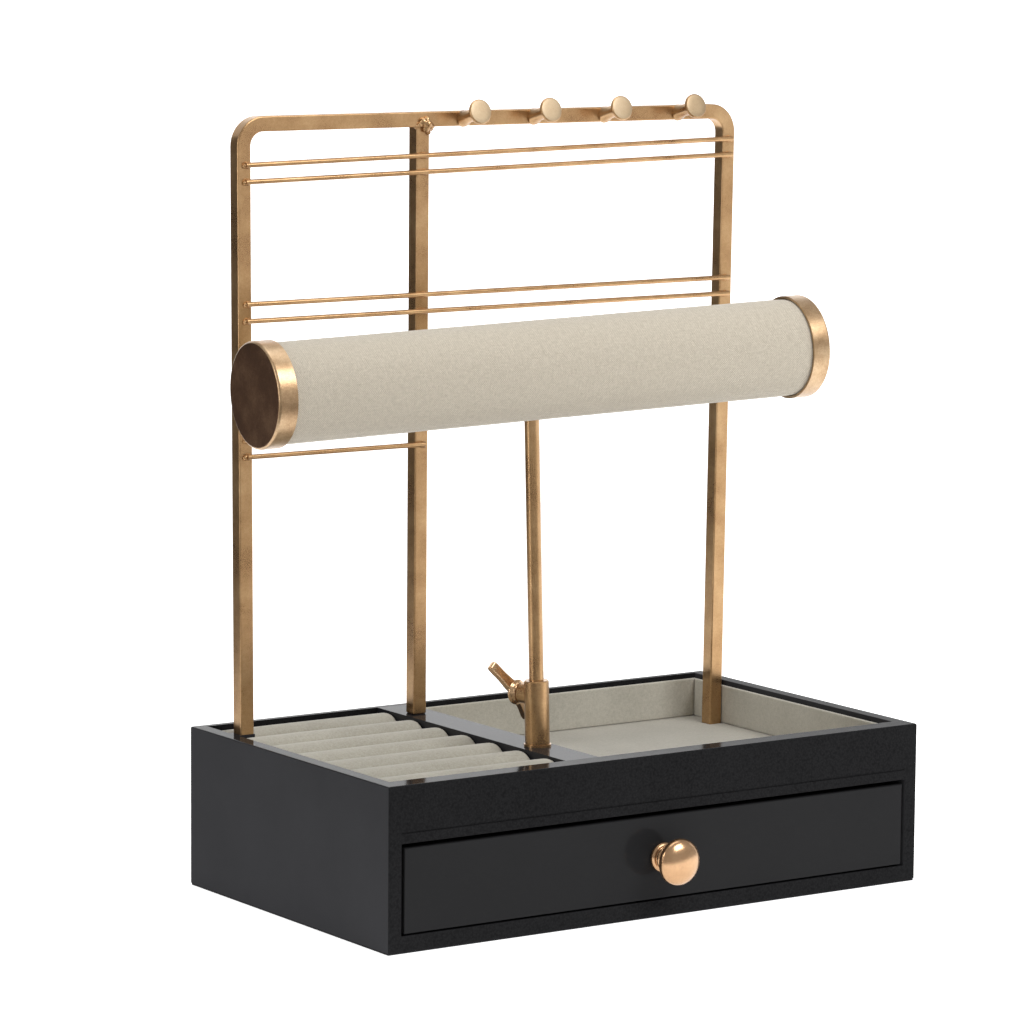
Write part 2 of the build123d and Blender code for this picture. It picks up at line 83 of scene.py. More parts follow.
# %% [markdown]
# ## Shader maths as sums
#
# A procedural finish is a chain of small sums: noise times strength, plus a mask, and so on.
# Drawn by hand that is a wall of Math nodes. Here a `Flow` wraps one output socket and gives it
# the ordinary operators, so the sum is written as a sum. A `Finish` is one material in the
# making, and its `node` method is the only place where a shader node is added.


# %% Flow and Finish
class Flow:
    """One output socket that can be added, multiplied and compared like a number."""

    def __init__(self, finish, socket):
        self.finish = finish
        self.socket = socket

    def sum(self, operation, first, second):
        return self.finish.node("Math", {"operation": operation}, {0: first, 1: second})

    def __add__(self, other):
        return self.sum("ADD", self, other)

    def __radd__(self, other):
        return self.sum("ADD", other, self)

    def __sub__(self, other):
        return self.sum("SUBTRACT", self, other)

    def __rsub__(self, other):
        return self.sum("SUBTRACT", other, self)

    def __mul__(self, other):
        return self.sum("MULTIPLY", self, other)

    def __rmul__(self, other):
        return self.sum("MULTIPLY", other, self)


class Finish:
    """One material while it is being made."""

    def __init__(self, name):
        self.material = bpy.data.materials.new(name)
        self.material.use_nodes = True
        self.tree = self.material.node_tree
        self.shader = self.tree.nodes["Principled BSDF"]

    def node(self, kind, settings=None, sockets=None, out=0):
        """Adds a node, sets it up, fills its sockets and returns one output as a Flow."""
        made = self.tree.nodes.new("ShaderNode" + kind)
        for key, value in (settings or {}).items():
            if key == "stops":
                self.fill_ramp(made.color_ramp, value)
            else:
                setattr(made, key, value)
        for key, value in (sockets or {}).items():
            self.feed(made.inputs[key], value)
        return Flow(self, made.outputs[out])

    def fill_ramp(self, ramp, stops):
        for place, colour in stops[2:]:
            ramp.elements.new(place).color = colour
        for element, (place, colour) in zip(ramp.elements, sorted(stops)):
            element.position = place
            element.color = colour

    def feed(self, socket, value):
        if isinstance(value, Flow):
            self.tree.links.new(value.socket, socket)
        else:
            socket.default_value = value

    def set(self, **sockets):
        """Feeds the shader's own sockets; Base_Color stands for Base Color."""
        for name, value in sockets.items():
            self.feed(self.shader.inputs[name.replace("_", " ")], value)

    def place(self, stretch=(1, 1, 1), kind="Object"):
        """Object coordinates or the piece's own map, stretched per axis."""
        where = self.node("TexCoord", out=kind)
        return self.node("Mapping", {}, {"Vector": where, "Scale": stretch})

    def noise(self, place, scale, detail=3.0, rough=0.55):
        return self.node(
            "TexNoise", {}, {"Vector": place, "Scale": scale, "Detail": detail, "Roughness": rough}
        )

    def band(self, value, low, high):
        """0 below low, 1 above high, smooth between."""
        return self.node(
            "MapRange", {"interpolation_type": "SMOOTHSTEP"},
            {"Value": value, "From Min": low, "From Max": high},
        )

    def axis(self, vector, name):
        """One of the three numbers of a vector."""
        return self.node("SeparateXYZ", {}, {"Vector": vector}, out=name)

    def blend(self, mask, first, second):
        """Colour first where the mask is 0, second where it is 1."""
        return self.node(
            "Mix", {"data_type": "RGBA"}, {"Factor": mask, 6: first, 7: second}, out=2
        )

    def bump(self, height, strength, depth):
        return self.node("Bump", {}, {"Height": height, "Strength": strength, "Distance": depth})


def paint(red, green, blue):
    """A display colour, 0 to 255, as the linear colour that a shader takes."""
    linear = []
    for level in (red, green, blue):
        share = level / 255
        linear.append(share / 12.92 if share <= 0.04045 else ((share + 0.055) / 1.055) ** 2.4)
    return (*linear, 1.0)


print("a mid gold in linear light", [round(level, 3) for level in paint(176, 138, 96)])

# %% [markdown]
# ## The studio
#
# Gold paint and black lacquer look like what they mirror, so the room is built for them. A white
# floor and a white wall behind give the plain ground and the bright rims. A large soft box high at
# the front right lights the cloth, the pegs and the knob, a weak one hangs above, and a tall strip
# stands at the left. A dark card at the back left gives the faces that look left their brown, which
# an even white room would wash out. A grey card on the floor in front keeps the light from below
# down, so the bolster's underside is darker than its top. The cards only show in reflections: the
# camera looks through them, so the stand can be seen from every side.

# %% Floor, wall and cards
floor_half = 45.0
wall_distance = 3.0
wall_size = (9.0, 5.0)
card_place = Vector((-0.62, 0.74, 0.32))
card_size = (1.1, 1.1)
card_target = Vector((0.0, 0.0, 1.4))
front_card_size = (2.6, 1.3)
front_card_start = 0.31
middle = Vector((0.0, 0.0, 0.18))


def studio_sheet(name, place, target, size, level, glow):
    """A flat sheet that faces a point: a pale or dark surface that may glow a little."""
    bpy.ops.object.select_all(action="DESELECT")
    bpy.ops.mesh.primitive_plane_add(size=1, location=place)
    sheet = bpy.context.object
    sheet.name = name
    look = (Vector(target) - Vector(place)).to_track_quat("Z", "Y")
    sheet.rotation_euler = look.to_euler()
    sheet.scale = (*size, 1)
    finish = Finish(name)
    finish.set(Base_Color=(level, level, level, 1.0), Roughness=0.9, Specular_IOR_Level=0.1)
    finish.set(Emission_Color=(1.0, 1.0, 1.0, 1.0), Emission_Strength=glow)
    sheet.data.materials.append(finish.material)
    return sheet


away = Vector((-camera_place.x, -camera_place.y, 0)).normalized()
studio_sheet("studio_floor", (0, 0, -0.0002), (0, 0, 1), (2 * floor_half,) * 2, 0.85, 0.8)
studio_sheet("studio_wall", away * wall_distance, (0, 0, 0), wall_size, 0.85, 0.75)
dark_card = studio_sheet("dark_card", card_place, card_target, card_size, 0.05, 0.0)
front_card = studio_sheet("front_card", (0, 0, 0), (0, 0, 1), front_card_size, 0.16, 0.0)
front_card.location = -away * (front_card_start + front_card_size[1] / 2) + Vector((0, 0, 0.001))
front_card.rotation_euler.z = math.atan2(away.y, away.x) - math.pi / 2
for card in (dark_card, front_card):
    card.visible_camera = False
    card.visible_shadow = False

# %% World and soft boxes
world = bpy.data.worlds.new("studio")
bpy.context.scene.world = world
world.use_nodes = True
backdrop = world.node_tree.nodes["Background"]
backdrop.inputs["Color"].default_value = (1.0, 1.0, 1.0, 1.0)
backdrop.inputs["Strength"].default_value = 0.42


def soft_box(name, place, target, width, height, power):
    """A rectangular lamp that faces a point."""
    lamp = bpy.data.lights.new(name, "AREA")
    lamp.shape = "RECTANGLE"
    lamp.size = width
    lamp.size_y = height
    lamp.energy = power
    box = bpy.data.objects.new(name, lamp)
    bpy.context.collection.objects.link(box)
    look = (Vector(target) - Vector(place)).to_track_quat("-Z", "Y")
    box.matrix_world = Matrix.Translation(place) @ look.to_matrix().to_4x4()
    return box


soft_box("key_front", (0.34, -1.15, 1.25), middle, 0.9, 0.7, 16.0)
soft_box("top", (0.0, 0.1, 1.6), middle, 1.2, 0.8, 6.0)
soft_box("left_strip", (-1.6, 0.1, 0.5), middle, 0.2, 1.2, 6.5)
bpy.context.scene.view_settings.view_transform = "Standard"
print("lamps", len(bpy.data.lights))

# %% [markdown]
# ## Gold paint
#
# The bars are steel under a satin antique-gold paint that was sprayed on. Close up it is not one
# colour: tiny flakes in the paint sparkle, and wide soft patches are a little thicker or thinner.
# A metallic shader with fine noise in its colour and bump gives the flakes, and a thin clear coat
# gives the pale highlight that pure metal lacks.


# %% Gold paint
def gold(name, thin, mid, thick, rough, flake=0.3, coat=0.35):
    """Satin gold paint; the three colours run from thin to thick paint."""
    finish = Finish(name)
    place = finish.place()
    flakes = finish.noise(place, 2300.0, 2.0)
    orange_peel = finish.noise(place, 700.0, 2.0)
    patches = finish.noise(place, 55.0, 3.0)
    tone = patches * 0.6 + flakes * 0.25 + orange_peel * 0.15
    finish.set(
        Base_Color=finish.node(
            "ValToRGB", {"stops": [(0.3, thin), (0.7, thick), (0.5, mid)]}, {"Fac": tone}
        ),
        Metallic=0.9,
        Roughness=rough + patches * 0.1 + flakes * 0.08,
        Coat_Weight=coat,
        Coat_Roughness=0.22,
        Normal=finish.bump(flakes * 0.6 + orange_peel * 0.4, flake, 0.0001),
    )
    return finish.material


gold_paint = gold(
    "gold_paint", paint(148, 111, 73), paint(180, 142, 98), paint(207, 170, 125), 0.2, 0.5
)
gold_turned = gold(
    "gold_turned_metal", paint(172, 132, 94), paint(194, 154, 115), paint(214, 177, 138), 0.14, 0.12
)
# the wing's gold: a lower roughness for its polish, and a paler colour than the knob's gold of the
# same metal, which is a painted highlight
gold_polished_painted_highlight = gold(
    "gold_polished_painted_highlight", paint(190, 150, 110), paint(214, 176, 134), paint(236, 204, 166), 0.12, 0.15
)
# the peg discs' front faces: a paler copy of the gold, a painted highlight
gold_pale_painted_highlight = gold(
    "gold_peg_face_painted_highlight", paint(158, 136, 106), paint(176, 154, 124), paint(190, 170, 142), 0.4, 0.5, 0.2
)
gold_rim = gold(
    "gold_cap_rim", paint(128, 100, 72), paint(176, 144, 108), paint(214, 186, 150), 0.26, 0.8, 0.3
)
# the caps' flat faces: the same gold painted dark brown, a painted shade for the dark that these
# faces mirror
gold_face_painted_shade = gold(
    "gold_cap_face_painted_shade", paint(74, 50, 34), paint(96, 68, 48), paint(132, 102, 76), 0.4, 0.8, 0.1
)
print("gold finishes", 6)

# %% [markdown]
# ## Black leatherette and lacquer
#
# The box is wrapped in black leatherette. Its grain is a net of soft pebbles less than a
# millimetre across, which is what a Voronoi pattern gives. The front shows it plainly, the sides
# are pressed smooth, and the edges on top are smooth enough to mirror the posts. The sides are
# also painted a little paler than the front, which is painted light for the light that falls on
# the left side. The direction that a face looks in tells these three apart.


# %% Black finishes
def facing_parts(finish):
    """How much a face looks forward, sideways and up, each from 0 to 1."""
    normal = finish.node("NewGeometry", out="Normal")
    forward = finish.band(finish.axis(normal, "Y") * finish.axis(normal, "Y"), 0.4, 0.8)
    sideways = finish.band(finish.axis(normal, "X") * finish.axis(normal, "X"), 0.4, 0.8)
    upward = finish.band(finish.axis(normal, "Z"), 0.7, 0.95)
    return forward, sideways, upward


def leatherette(name, front, side, top):
    """Grained front and back, sides pressed smooth and painted paler as painted light, lacquered
    top.
    """
    finish = Finish(name)
    place = finish.place()
    pebbles = finish.node(
        "TexVoronoi", {"feature": "SMOOTH_F1"},
        {"Vector": place, "Scale": 1050.0, "Smoothness": 0.5}, out="Distance",
    )
    cloud = finish.noise(place, 22.0, 3.0)
    fine = finish.noise(place, 1900.0, 2.0)
    forward, sideways, upward = facing_parts(finish)
    rightness = finish.band(finish.axis(place, "X"), -0.14, 0.12)
    gloss = upward * (0.42 - 0.2 * rightness)
    grain = forward * 0.85 + 0.15
    # faces that look sideways take the paler side colour: painted light for the light on the left
    # side
    faced_with_painted_side_light = finish.blend(sideways, front, side)
    toned = finish.blend(upward, faced_with_painted_side_light, top)
    shaded = finish.blend(pebbles * 0.55 * forward + cloud * 0.25, toned, paint(12, 12, 13))
    finish.set(
        Base_Color=shaded,
        Roughness=0.5 + cloud * 0.1 - upward * 0.25,
        Specular_IOR_Level=0.0,
        Coat_Weight=gloss,
        Coat_Roughness=0.1,
        Normal=finish.bump((pebbles * 0.75 + fine * 0.25) * grain * (1 - upward), 0.55, 0.00022),
    )
    return finish.material


def lacquer(name, dark, light, rough, coat):
    """Smooth black lacquer with a slight orange peel; all its gloss is in the coat."""
    finish = Finish(name)
    place = finish.place()
    peel = finish.noise(place, 240.0, 2.0)
    cloud = finish.noise(place, 14.0, 3.0)
    finish.set(
        Base_Color=finish.blend(cloud, dark, light),
        Roughness=rough + cloud * 0.08,
        Specular_IOR_Level=0.0,
        Coat_Weight=coat,
        Coat_Roughness=0.12,
        Normal=finish.bump(peel, 0.05, 0.0003),
    )
    return finish.material


# the side colour is paler than the front: painted light
wrap_black = leatherette(
    "black_leatherette", paint(41, 41, 42), paint(60, 60, 62), paint(34, 34, 36)
)
lacquer_black = lacquer("black_lacquer", paint(32, 32, 35), paint(40, 40, 44), 0.5, 0.5)
drawer_black = lacquer("black_drawer_face", paint(32, 32, 33), paint(38, 38, 39), 0.5, 0.1)
board_black = lacquer("black_board", paint(32, 32, 34), paint(40, 40, 42), 0.6, 0.1)
print("blacks", 4)

# %% [markdown]
# ## Velvet
#
# The rolls, the linings and the bolster are covered in beige-grey cloth: a short pile on a fine
# weave. On flat boards and rolls the pile hides the weave, so noise of two sizes is enough. The
# bolster's cover shows its threads, so it carries a map of its own, in metres round and along the
# tube, and two crossed sets of waves on that map give warp and weft. A little sheen gives the pale
# rim that pile shows where it is seen edge on.


# %% Velvet
def velvet(name, light, dark, sheen=0.3):
    """Short-pile cloth with fine flecks."""
    finish = Finish(name)
    place = finish.place()
    fuzz = finish.noise(place, 1500.0, 3.0)
    flecks = finish.noise(place, 640.0, 3.0, 0.7)
    drift = finish.noise(place, 28.0, 2.0)
    tone = fuzz * 0.35 + flecks * 0.35 + drift * 0.3
    finish.set(
        Base_Color=finish.node(
            "ValToRGB", {"stops": [(0.36, dark), (0.64, light)]}, {"Fac": tone}
        ),
        Roughness=0.92,
        Specular_IOR_Level=0.2,
        Sheen_Weight=sheen,
        Sheen_Roughness=0.45,
        Normal=finish.bump(fuzz * 0.5 + flecks * 0.5, 0.5, 0.0003),
    )
    return finish.material


def woven(name, light, dark, thread):
    """Plain weave on the piece's own map, where one unit is a metre."""
    finish = Finish(name)
    place = finish.place(kind="UV")
    wobble = finish.noise(finish.place(), 260.0, 2.0)
    waves = []
    for way in ("X", "Y"):
        turn = finish.axis(place, way) * (2 * math.pi / thread) + wobble * 5.0
        waves.append(finish.node("Math", {"operation": "SINE"}, {0: turn}))
    cloth = waves[0] * waves[1] * 0.5 + 0.5
    fuzz = finish.noise(finish.place(), 1300.0, 3.0)
    warp = finish.noise(finish.place((1, 0.3, 1), "UV"), 1000.0, 2.0)
    weft = finish.noise(finish.place((0.3, 1, 1), "UV"), 1000.0, 2.0)
    tone = cloth * 0.3 + fuzz * 0.3 + warp * 0.2 + weft * 0.2
    finish.set(
        Base_Color=finish.node(
            "ValToRGB", {"stops": [(0.34, dark), (0.66, light)]}, {"Fac": tone}
        ),
        Roughness=0.92,
        Specular_IOR_Level=0.2,
        Sheen_Weight=0.25,
        Sheen_Roughness=0.45,
        Normal=finish.bump(cloth * 0.6 + warp * 0.2 + weft * 0.2, 0.6, 0.00025),
    )
    return finish.material


roll_velvet = velvet("roll_velvet", paint(176, 172, 160), paint(150, 146, 134))
lining_velvet = velvet("lining_velvet", paint(194, 190, 178), paint(168, 164, 152))
# the tray floor: the lining cloth painted darker, a painted shade for the shade inside the tray
floor_velvet_painted_shade = velvet("floor_velvet_painted_shade", paint(170, 166, 155), paint(146, 142, 131))
bolster_weave = woven("bolster_velvet", paint(206, 197, 181), paint(168, 159, 143), 0.001)
felt_black = velvet("black_felt", paint(40, 40, 42), paint(18, 18, 20), 0.1)
print("cloths", 5)

# %% [markdown]
# ## The small finishes
#
# Some pieces hardly show: pale wood runners, the card tube inside the bolster and the zinc
# screws. They still get a grain of their own, because the drawer opens and shows them.


# %% Wood, card and zinc
def grained(name, light, dark, stretch, scale, rough, metallic=0.0):
    """A material with one stretched grain."""
    finish = Finish(name)
    grain = finish.noise(finish.place(stretch), scale, 5.0)
    finish.set(
        Base_Color=finish.node(
            "ValToRGB", {"stops": [(0.35, dark), (0.65, light)]}, {"Fac": grain}
        ),
        Roughness=rough + grain * 0.1,
        Metallic=metallic,
        Normal=finish.bump(grain, 0.2, 0.0002),
    )
    return finish.material


plain_wood = grained(
    "plain_wood", paint(206, 178, 138), paint(170, 138, 98), (1, 0.08, 1), 260.0, 0.6
)
kraft_card = grained(
    "kraft_card", paint(186, 158, 120), paint(150, 122, 88), (0.2, 1, 1), 300.0, 0.8
)
velvet_card = grained("velvet_card", paint(58, 56, 54), paint(34, 33, 32), (1, 1, 1), 300.0, 0.85)
zinc_steel = grained(
    "zinc_steel", paint(196, 198, 202), paint(150, 152, 156), (1, 1, 0.1), 900.0, 0.3, 1.0
)
print("small finishes", 4)

# %% [markdown]
# ## Dress the construction
#
# A piece whose shape is already right only needs its finish. The record says which slot each
# piece takes its finish from, so one small table from slot to material dresses them all.

# %% Dress the frame's own pieces
finish_of_slot = {
    "black_leatherette": wrap_black,
    "black_lacquer": lacquer_black,
    "black_drawer_face": drawer_black,
    "black_board": board_black,
    "black_felt": felt_black,
    "plain_wood": plain_wood,
    "velvet_card": velvet_card,
    "roll_velvet": roll_velvet,
    "lining_velvet": lining_velvet,
    "bolster_velvet": bolster_weave,
    "gold_paint": gold_paint,
    "gold_metal": gold_turned,
    "zinc_steel": zinc_steel,
    "kraft_card": kraft_card,
}
slot_of_node = {entry["node"]: entry["material_slot"] for entry in frame["record"]["subparts"]}
for node, slot in slot_of_node.items():
    mesh = frame["nodes"][node].data
    mesh.materials.clear()
    mesh.materials.append(gold_rim if node.startswith("end_cap") else finish_of_slot[slot])
# both caps' flat end faces take the dark gold: painted shade
for node, sign in (("end_cap_left", -1), ("end_cap_right", 1)):
    mesh = frame["nodes"][node].data
    mesh.materials.append(gold_face_painted_shade)
    for face in mesh.polygons:
        face.material_index = int(face.normal.x * sign > 0.97)
print("dressed", len(slot_of_node), "pieces")

# %% [markdown]
# ## Working by hand, in code
#
# Every new piece starts from a primitive at its own size and place and is then shaped in edit
# mode. An operator acts on all that is selected, so each step first clears the selection and then
# picks faces or edges by where they lie. A finished piece has its place in its mesh, so its object
# is set back to the origin before it joins the body that it moves with.


# %% Small tools
def choose(piece):
    """Makes one piece the only selected and active one."""
    if bpy.context.mode != "OBJECT":
        bpy.ops.object.mode_set(mode="OBJECT")
    bpy.ops.object.select_all(action="DESELECT")
    piece.select_set(True)
    bpy.context.view_layer.objects.active = piece


def nothing_selected():
    bpy.ops.object.select_all(action="DESELECT")


def just_added(name):
    """Names the primitive that was added last."""
    piece = bpy.context.object
    piece.name = name
    return piece


def pick(piece, kind, test):
    """In edit mode, selects the verts, edges or faces that pass a test."""
    mode = {"verts": "VERT", "edges": "EDGE", "faces": "FACE"}[kind]
    bpy.ops.mesh.select_mode(type=mode)
    bpy.ops.mesh.select_all(action="DESELECT")
    mesh = bmesh.from_edit_mesh(piece.data)
    for part in getattr(mesh, kind):
        if test(part):
            part.select_set(True)
    mesh.select_flush_mode()
    bmesh.update_edit_mesh(piece.data)


def modify(piece, kind, **settings):
    """Adds one modifier, sets it and applies it at once."""
    choose(piece)
    modifier = piece.modifiers.new(kind.title(), kind)
    for name, value in settings.items():
        setattr(modifier, name, value)
    bpy.ops.object.modifier_apply(modifier=modifier.name)


def settle(piece):
    """Moves the piece's place into its mesh."""
    choose(piece)
    bpy.ops.object.transform_apply(location=True, rotation=True, scale=True)


def cut_out(piece, cutter):
    """Cuts one closed shape out of another and removes the cutter."""
    modify(piece, "BOOLEAN", object=cutter, operation="DIFFERENCE", solver="EXACT")
    bpy.data.objects.remove(cutter)


def hand_over(piece, material, body, slot, *nodes, angle=40):
    """Smooths and dresses a finished piece and ties it to the frame."""
    settle(piece)
    bpy.ops.object.shade_smooth_by_angle(angle=math.radians(angle))
    piece.data.materials.clear()
    piece.data.materials.append(material)
    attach(piece, body)
    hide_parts(*nodes)
    print(piece.name, len(piece.data.polygons), "faces")


def span(node):
    """The lowest and highest corner of a frame piece."""
    low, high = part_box(node)
    return Vector(low), Vector(high)


def centre(node):
    low, high = span(node)
    return (low + high) / 2


def block_at(name, low, high):
    """A cube primitive between two corners."""
    nothing_selected()
    bpy.ops.mesh.primitive_cube_add(size=1, location=(low + high) / 2, scale=high - low)
    piece = just_added(name)
    settle(piece)
    return piece


print("tools ready")

# %% [markdown]
# ## Turned pieces
#
# The knob and the necklace pegs are turned on a lathe, so they are made as a lathe makes them:
# half an outline, spun about an axis. The outline starts as a plane that is merged to one point,
# which is then extruded from corner to corner. A bevel rounds the corners afterwards, which keeps
# the outline itself down to the few points that its shape needs.


# %% Spin an outline
def turned(name, outline, origin, way, corner, steps=72):
    """Spins (radius, distance) points about +Z, rounds the corners and aims the piece."""
    nothing_selected()
    bpy.ops.mesh.primitive_plane_add(size=1 * MM)
    piece = just_added(name)
    bpy.ops.object.mode_set(mode="EDIT")
    bpy.ops.mesh.select_all(action="SELECT")
    bpy.ops.mesh.merge(type="CENTER")
    points = [Vector((radius, 0, distance)) * MM for radius, distance in outline]
    bpy.ops.transform.translate(value=points[0])
    for start, end in zip(points, points[1:]):
        bpy.ops.mesh.extrude_region_move(TRANSFORM_OT_translate={"value": end - start})
    bpy.ops.mesh.select_all(action="SELECT")
    bpy.ops.mesh.spin(steps=steps, angle=2 * math.pi, center=(0, 0, 0), axis=(0, 0, 1))
    bpy.ops.mesh.select_all(action="SELECT")
    bpy.ops.mesh.remove_doubles(threshold=0.002 * MM)
    bpy.ops.mesh.normals_make_consistent(inside=False)
    bpy.ops.object.mode_set(mode="OBJECT")
    modify(piece, "BEVEL", width=corner * MM, segments=3, limit_method="ANGLE", angle_limit=0.5)
    look = Vector(way).to_track_quat("Z", "Y").to_matrix().to_4x4()
    piece.matrix_world = Matrix.Translation(origin) @ look
    settle(piece)
    return piece


# %% [markdown]
# ## The drawer knob
#
# The knob is a mushroom: a base bead, a deep groove, a second bead, a slim neck and a domed head.
# The beads catch a line of light each, so they are in the outline and not in the material.

# %% Turned knob
knob_low, knob_high = span("drawer_knob")
knob_reach = (knob_high.y - knob_low.y) / MM
head_radius = (knob_high.x - knob_low.x) / 2 / MM
head_edge = 14.0
dome_points = 9

knob_outline = [
    (0, 0), (6.4, 0), (7.0, 0.8), (7.0, 1.9), (6.2, 2.7), (5.1, 3.0), (5.1, 3.5),
    (5.9, 4.0), (5.9, 4.9), (4.6, 5.8), (4.2, 7.2), (4.4, 9.0), (6.4, 10.6),
    (9.4, 11.5), (head_radius, 12.7),
]
for step in range(dome_points + 1):
    share = math.pi / 2 * step / dome_points
    radius = head_radius * math.cos(share)
    knob_outline.append((radius, head_edge + (knob_reach - head_edge) * math.sin(share) ** 1.15))
knob_root = Vector((centre("drawer_knob").x, knob_high.y, centre("drawer_knob").z))
knob = turned("turned_knob", knob_outline, knob_root, (0, -1, 0), 0.3)
hand_over(knob, gold_turned, "drawer", "gold_metal", "drawer_knob", angle=60)

# %% [markdown]
# ## Necklace pegs
#
# Each peg is a short round stub with a thin disc on its end, tilted upwards so that a chain can't
# slip off. The stub flares a little where it is welded to the bar. The discs are the palest spots
# on the frame because their faces are tilted to the light, and their front faces also get a paler
# gold than the rest of the peg, which is a painted highlight.

# %% Four pegs
peg_tilt = math.radians(15)
peg_way = Vector((0, -math.cos(peg_tilt), math.sin(peg_tilt)))
hoop_low, hoop_high = span("frame_hoop")
bar_width = hoop_high.y - hoop_low.y
top_bar_z = hoop_high.z - bar_width / 2
peg_outline = [
    (0, -2.6), (3.9, -2.6), (3.9, 0.9), (3.0, 2.6), (3.0, 12.6), (4.4, 13.2), (5.7, 13.4),
    (6.0, 13.9), (6.0, 14.9), (5.6, 15.35), (3.4, 15.5), (0, 15.5),
]
peg_names = [f"necklace_peg_{number}" for number in range(1, 5)]
first_root = Vector((centre(peg_names[0]).x, hoop_low.y, top_bar_z))
first_peg = turned("turned_peg_1", peg_outline, first_root, peg_way, 0.25, steps=48)
pegs = [first_peg]
for number, node in enumerate(peg_names[1:], start=2):
    peg = first_peg.copy()
    peg.data = first_peg.data.copy()
    peg.name = f"turned_peg_{number}"
    bpy.context.collection.objects.link(peg)
    peg.location.x = centre(node).x - first_root.x
    settle(peg)
    pegs.append(peg)
behind_bar = hoop_low.y + 0.5 * MM
for peg, node in zip(pegs, peg_names):
    choose(peg)
    bpy.ops.object.mode_set(mode="EDIT")
    bpy.ops.mesh.select_all(action="SELECT")
    bpy.ops.mesh.bisect(
        plane_co=(0, behind_bar, 0), plane_no=(0, 1, 0), clear_outer=True, use_fill=True
    )
    bpy.ops.object.mode_set(mode="OBJECT")
    hand_over(peg, gold_paint, "base", "gold_paint", node, angle=50)
    # the front face of each disc takes the paler gold: a painted highlight
    peg.data.materials.append(gold_pale_painted_highlight)
    for face in peg.data.polygons:
        if face.normal.dot(peg_way) > 0.9 and (face.center - first_root).dot(peg_way) > 14 * MM:
            face.material_index = 1
print("pegs lean", round(math.degrees(peg_tilt)), "degrees")

# %% [markdown]
# ## The wing screw
#
# The clamp screw has a cast head: a ringed hub with two arms that lean outwards. A casting has no
# sharp inner corners. So hub and arms are simple shapes that overlap, and a voxel remesh melts
# them into one skin, which a smoothing pass then rounds.

# %% Cast wing
wing_low, wing_high = span("clamp_screw_wing")
stem_middle = centre("stem_rod")
stem_lean = Matrix.Rotation(math.radians(-1.8), 3, "Y")
clamp_rise = 24 * MM
stem_up = stem_lean @ Vector((0, 0, 1))
rim_z = span("left_side_panel")[1].z
clamp_heading = math.radians(105)
clamp_way = stem_lean @ Vector((math.cos(clamp_heading), math.sin(clamp_heading), 0))
clamp_root = stem_middle + stem_up * ((rim_z - stem_middle.z) / stem_up.z + clamp_rise)
hub_start, hub_length = 9.4, 5.2
arm_turn, arm_flare = math.radians(41), math.radians(15)
arm_steps = ((5.0, 1.0), (11.0, 0.86), (17.0, 0.88), (19.5, 0.8))

hub_outline = [
    (0, 0), (4.2, 0), (4.9, 0.5), (4.9, 1.3), (5.5, 1.6), (5.95, 2.2), (5.95, 3.1), (5.4, 3.8),
    (4.2, 4.2), (3.4, 5.2), (0, 5.2),
]
wing = turned("cast_wing", hub_outline, clamp_root + clamp_way * hub_start * MM, clamp_way, 0.2, 48)
side = clamp_way.cross(stem_up)
arm_root = clamp_root + clamp_way * (hub_start + hub_length / 2) * MM
for turn in (0.0, math.pi):
    lift = (stem_up * math.cos(arm_turn + turn) - side * math.sin(arm_turn + turn)).normalized()
    way = (lift * math.cos(arm_flare) + clamp_way * math.sin(arm_flare)).normalized()
    nothing_selected()
    bpy.ops.mesh.primitive_cube_add(size=1, scale=(5.4 * MM, 3.7 * MM, 1.0 * MM))
    arm = just_added("wing_arm")
    settle(arm)
    bpy.ops.object.mode_set(mode="EDIT")
    reached = 0.5
    width = 1.0
    for distance, share in arm_steps:
        pick(arm, "faces", lambda face: face.normal.z > 0.9 and face.calc_center_median().z > 0)
        bpy.ops.mesh.extrude_region_move(
            TRANSFORM_OT_translate={"value": (0, 0, (distance - reached) * MM)}
        )
        bpy.ops.transform.resize(value=(share / width, share / width, 1))
        reached, width = distance, share
    bpy.ops.object.mode_set(mode="OBJECT")
    modify(arm, "BEVEL", width=0.5 * MM, segments=2, limit_method="ANGLE", angle_limit=0.5)
    across = way.cross(clamp_way).normalized()
    frame_of_arm = Matrix((across, way.cross(across), way)).transposed().to_4x4()
    arm.matrix_world = Matrix.Translation(arm_root) @ frame_of_arm
    settle(arm)
    nothing_selected()
    arm.select_set(True)
    wing.select_set(True)
    bpy.context.view_layer.objects.active = wing
    bpy.ops.object.join()
modify(wing, "REMESH", mode="VOXEL", voxel_size=0.28 * MM)
modify(wing, "SMOOTH", factor=0.5, iterations=5)
# the wing takes the paler gold: a painted highlight, with a lower roughness for its polish
hand_over(wing, gold_polished_painted_highlight, "clamp_wing", "gold_metal", "clamp_screw_wing", angle=60)

# %% [markdown]
# ## Welds
#
# Where a wire meets a post there is a small bead of weld under the paint, and where the middle
# post meets the top bar there is a bigger, untidy one. Beads are lumps that flow into each other,
# so each starts as a few small balls, and one remesh melts them all into smooth lumps.

